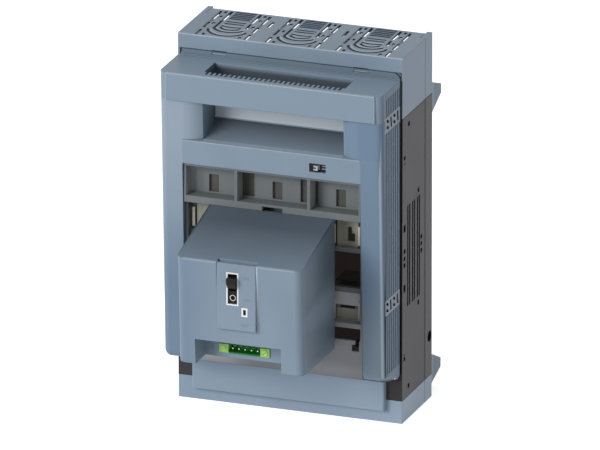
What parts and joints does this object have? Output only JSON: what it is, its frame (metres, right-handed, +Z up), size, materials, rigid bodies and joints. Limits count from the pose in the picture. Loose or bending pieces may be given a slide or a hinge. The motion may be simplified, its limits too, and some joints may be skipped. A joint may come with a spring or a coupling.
{
  "type": "fuse switch disconnector",
  "caption": "Three-pole fuse switch disconnector on a busbar adapter, with a swing-down lid that carries a fuse-monitoring box with rocker, dial and green header.",
  "frame": {"origin": "middle of the bounding box, at the level of the bottom cover's underside", "axes": "+X to the right seen from the front, +Y to the back towards the busbars, +Z up"},
  "size_m": [0.184, 0.2084, 0.298],
  "materials": {
    "blue_grey_moulding": "fine spark-eroded texture",
    "dark_moulding": "matt thermoset moulding",
    "grey_moulding": "smooth moulding",
    "panel_moulding": "smooth moulding",
    "silvered_copper": "silver-plated copper, satin",
    "zinc_plated_steel": "zinc-plated, satin",
    "spring_steel": "bright rolled strip",
    "black_moulding": "semi-gloss moulding",
    "white_moulding": "smooth moulding",
    "green_moulding": "smooth moulding",
    "tinned_brass": "tinned",
    "board_laminate": "lacquered laminate",
    "smoked_pane": "smoked polycarbonate, satin"
  },
  "bodies": {
    "base": {"top_cover": "blue_grey_moulding", "top_rear_cover": "blue_grey_moulding", "bottom_cover": "blue_grey_moulding", "bottom_rear_cover": "blue_grey_moulding", "upper_claws": "blue_grey_moulding", "lower_claws": "blue_grey_moulding", "masking_frame": "blue_grey_moulding", "base_housing": "dark_moulding", "busbar_adapter": "dark_moulding", "upper_contact_1": "silvered_copper", "upper_contact_2": "silvered_copper", "upper_contact_3": "silvered_copper", "lower_contact_1": "silvered_copper", "lower_contact_2": "silvered_copper", "lower_contact_3": "silvered_copper", "busbar_link_1": "silvered_copper", "busbar_link_2": "silvered_copper", "busbar_link_3": "silvered_copper", "terminal_bolts": "zinc_plated_steel", "terminal_nuts": "zinc_plated_steel", "adapter_screws": "zinc_plated_steel", "arc_plates": "zinc_plated_steel", "jaw_springs": "spring_steel"},
    "lid": {"lid_frame": "blue_grey_moulding", "hinge_pins": "zinc_plated_steel", "carrier_insert": "grey_moulding", "inspection_pane": "smoked_pane", "upper_fuse_grips": "spring_steel", "lower_fuse_grips": "spring_steel", "monitor_box": "blue_grey_moulding", "box_back_plate": "grey_moulding", "back_plate_screws": "zinc_plated_steel", "breaker_body": "black_moulding", "breaker_panel": "panel_moulding", "window_rims": "white_moulding", "dial_escutcheon": "black_moulding", "rocker_axle": "tinned_brass", "circuit_board": "board_laminate", "header_housing": "green_moulding", "header_pins": "tinned_brass", "flange_screws": "zinc_plated_steel"},
    "rocker": {"rocker": "black_moulding"},
    "dial": {"setting_dial": "white_moulding"},
    "test": {"test_button": "white_moulding"},
    "slider": {"lock_slider": "black_moulding"}
  },
  "joints": [
    {"name": "lid_hinge", "type": "hinge", "parent": "base", "child": "lid", "pos_m": [0, 0.0062, 0.042], "axis": [1, 0, 0], "range_deg": [0, 95]},
    {"name": "rocker_pivot", "type": "hinge", "parent": "lid", "child": "rocker", "pos_m": [-0.00485, -0.0941, 0.1425], "axis": [1, 0, 0], "range_deg": [-15, 0]},
    {"name": "dial_turn", "type": "hinge", "parent": "lid", "child": "dial", "pos_m": [-0.00485, -0.0958, 0.1299], "axis": [0, 1, 0], "range_deg": [-120, 120]},
    {"name": "test_press", "type": "slide", "parent": "lid", "child": "test", "axis": [0, 1, 0], "range_m": [0, 0.0012], "stiffness_N_per_m": 600},
    {"name": "lock_slide", "type": "slide", "parent": "lid", "child": "slider", "axis": [1, 0, 0], "range_m": [0, 0.0055]}
  ]
}
